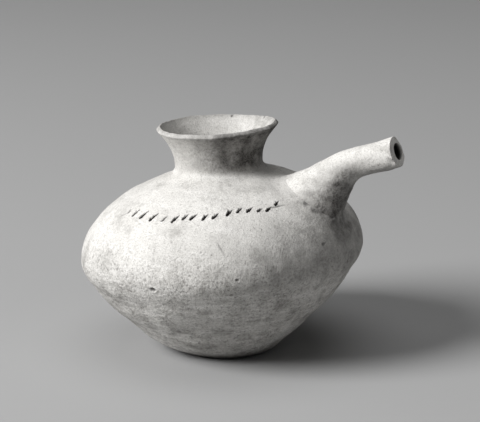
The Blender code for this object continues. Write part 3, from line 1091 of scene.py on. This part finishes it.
def fired_clay():
    """Unglazed earthenware, wiped and scraped by hand: pale, dry and matt, stained, streaked and pitted."""
    material = bpy.data.materials.new("unglazed_earthenware")
    material.use_nodes = True
    tree = material.node_tree
    shader = tree.nodes["Principled BSDF"]
    place = add_node(tree, "ShaderNodeTexCoord", {}).outputs["Object"]
    height = add_node(tree, "ShaderNodeSeparateXYZ", {}, {0: place}).outputs["Z"]
    product = {"operation": "MULTIPLY"}
    squash = {"operation": "MULTIPLY", 1: (1.0, 1.0, STREAK_SQUASH)}
    level = add_node(tree, "ShaderNodeVectorMath", squash, {0: place}).outputs[0]

    # The patterns, what the pieces note of dirt and painted shade, and the zones
    clay = {}
    for name, size, layers, strength in CLAY_PATTERNS:
        settings = {"Scale": 1.0 / size, "Detail": layers, "Roughness": strength}
        links = {"Vector": level if name == "streak" else place}
        clay[name] = add_node(tree, "ShaderNodeTexNoise", settings, links).outputs["Fac"]
    for name in ("dirt_and_shade", "painted_shade"):
        clay[name] = add_node(tree, "ShaderNodeAttribute", {"attribute_name": name}).outputs["Fac"]
    for name, above, below, least in CLAY_ZONES:
        settings = {"From Min": above, "From Max": below, "To Min": least, "To Max": 1.0}
        clay[name] = add_node(tree, "ShaderNodeMapRange", settings, {"Value": height}).outputs["Result"]

    # Clay under the painted shade is rough too, and stained clay rougher than clean
    settings = {"From Min": WORN_START, "From Max": WORN_FULL, "To Min": WORN_LEAST, "To Max": 1.0}
    worn = add_node(tree, "ShaderNodeMapRange", settings, {"Value": clay["stain"]}).outputs["Result"]
    links = {0: clay["rough"], 1: clay["painted_shade"]}
    rough = add_node(tree, "ShaderNodeMath", {"operation": "MAXIMUM"}, links).outputs[0]
    clay["rough"] = add_node(tree, "ShaderNodeMath", product, {0: rough, 1: worn}).outputs[0]

    colour = None
    for tint, pattern, start, end, at_start, at_end, zone in CLAY_TINTS:
        settings = {"From Min": start, "From Max": end, "To Min": at_start, "To Max": at_end}
        amount = add_node(tree, "ShaderNodeMapRange", settings, {"Value": clay[pattern]}).outputs["Result"]
        if zone:
            amount = add_node(tree, "ShaderNodeMath", product, {0: amount, 1: clay[zone]}).outputs[0]
        settings = {"data_type": "RGBA", MIX_FROM: linear(CLAY_COLOUR), MIX_TO: linear(tint)}
        links = {MIX_AMOUNT: amount}
        if colour:
            links[MIX_FROM] = colour
        colour = add_node(tree, "ShaderNodeMix", settings, links).outputs[MIX_RESULT]
    tree.links.new(colour, shader.inputs["Base Color"])

    relief = None
    for pattern, depth, zone in CLAY_RELIEF:
        raised = clay[pattern]
        if zone:
            raised = add_node(tree, "ShaderNodeMath", product, {0: raised, 1: clay[zone]}).outputs[0]
        links = {"Height": raised}
        if relief:
            links["Normal"] = relief
        settings = {"Strength": 1.0, "Distance": depth}
        relief = add_node(tree, "ShaderNodeBump", settings, links).outputs["Normal"]
    tree.links.new(relief, shader.inputs["Normal"])
    shader.inputs["IOR"].default_value = CLAY_IOR
    shader.inputs["Roughness"].default_value = CLAY_ROUGHNESS
    shader.inputs["Specular IOR Level"].default_value = CLAY_GLOSS
    return material


def ground_paper():
    """Plain grey paper: an even matt ground."""
    material = bpy.data.materials.new("grey_paper")
    material.use_nodes = True
    shader = material.node_tree.nodes["Principled BSDF"]
    shader.inputs["Base Color"].default_value = linear("#A6A6A6")
    shader.inputs["Roughness"].default_value = 0.95
    shader.inputs["Specular IOR Level"].default_value = 0.1
    return material


# Ground, light and camera

def lay_ground():
    bpy.ops.object.select_all(action="DESELECT")
    bpy.ops.mesh.primitive_plane_add(size=GROUND_SIZE, location=(0, 0, 0))
    ground = bpy.context.object
    ground.name = "paper_ground"
    ground.data.materials.append(ground_paper())


def add_lamp(name, way, distance, size, watts):
    """A round soft lamp that looks at the vessel from this way off."""
    bpy.ops.object.select_all(action="DESELECT")
    bpy.ops.object.light_add(type="AREA", location=CAMERA_TARGET + distance * way)
    lamp = bpy.context.object
    lamp.name = name
    lamp.data.shape = "DISK"
    lamp.data.size = size
    lamp.data.energy = watts
    lamp.rotation_euler = (-way).to_track_quat("-Z", "Y").to_euler()


def from_camera(turn, rise):
    """The way out from the vessel, turned this far to the left of the camera and raised this far."""
    turn = CAMERA_TURN - turn
    return Vector((math.sin(turn) * math.cos(rise), -math.cos(turn) * math.cos(rise), math.sin(rise)))


def light_scene():
    """A lamp to the left of the camera and above it, two faint ones, and a dim even room."""
    add_lamp("key_lamp", from_camera(KEY_TURN, KEY_RISE), KEY_DISTANCE, KEY_SIZE, KEY_WATTS)
    add_lamp("fill_lamp", from_camera(FILL_TURN, FILL_RISE), FILL_DISTANCE, FILL_SIZE, FILL_WATTS)
    add_lamp("overhead_lamp", Vector((0, 0, 1)), OVERHEAD_HEIGHT, OVERHEAD_SIZE, OVERHEAD_WATTS)
    world = bpy.data.worlds.new("dim_room")
    world.use_nodes = True
    room = world.node_tree.nodes["Background"]
    room.inputs["Color"].default_value = linear("#FFFFFF")
    room.inputs["Strength"].default_value = ROOM_STRENGTH
    bpy.context.scene.world = world


def place_camera():
    """Looks at the target from the photograph's side, turned a little to set it off centre."""
    back = from_camera(0.0, CAMERA_RISE)
    right = Vector((math.cos(CAMERA_TURN), math.sin(CAMERA_TURN), 0.0))
    metres_per_pixel = CAMERA_DISTANCE / FOCAL_PIXELS
    aim = CAMERA_TARGET + right * (IMAGE_WIDTH / 2 - TARGET_PIXEL[0]) * metres_per_pixel
    aim += back.cross(right) * (TARGET_PIXEL[1] - IMAGE_HEIGHT / 2) * metres_per_pixel
    place = CAMERA_TARGET + back * CAMERA_DISTANCE
    bpy.ops.object.select_all(action="DESELECT")
    bpy.ops.object.camera_add(location=place)
    camera = bpy.context.object
    camera.rotation_euler = (aim - place).to_track_quat("-Z", "Y").to_euler()
    camera.data.sensor_fit = "HORIZONTAL"
    camera.data.sensor_width = SENSOR_MM
    camera.data.lens = SENSOR_MM * FOCAL_PIXELS / IMAGE_WIDTH
    bpy.context.scene.camera = camera


make_ewer()
lay_ground()
light_scene()
place_camera()
bpy.context.scene.view_settings.view_transform = "Standard"
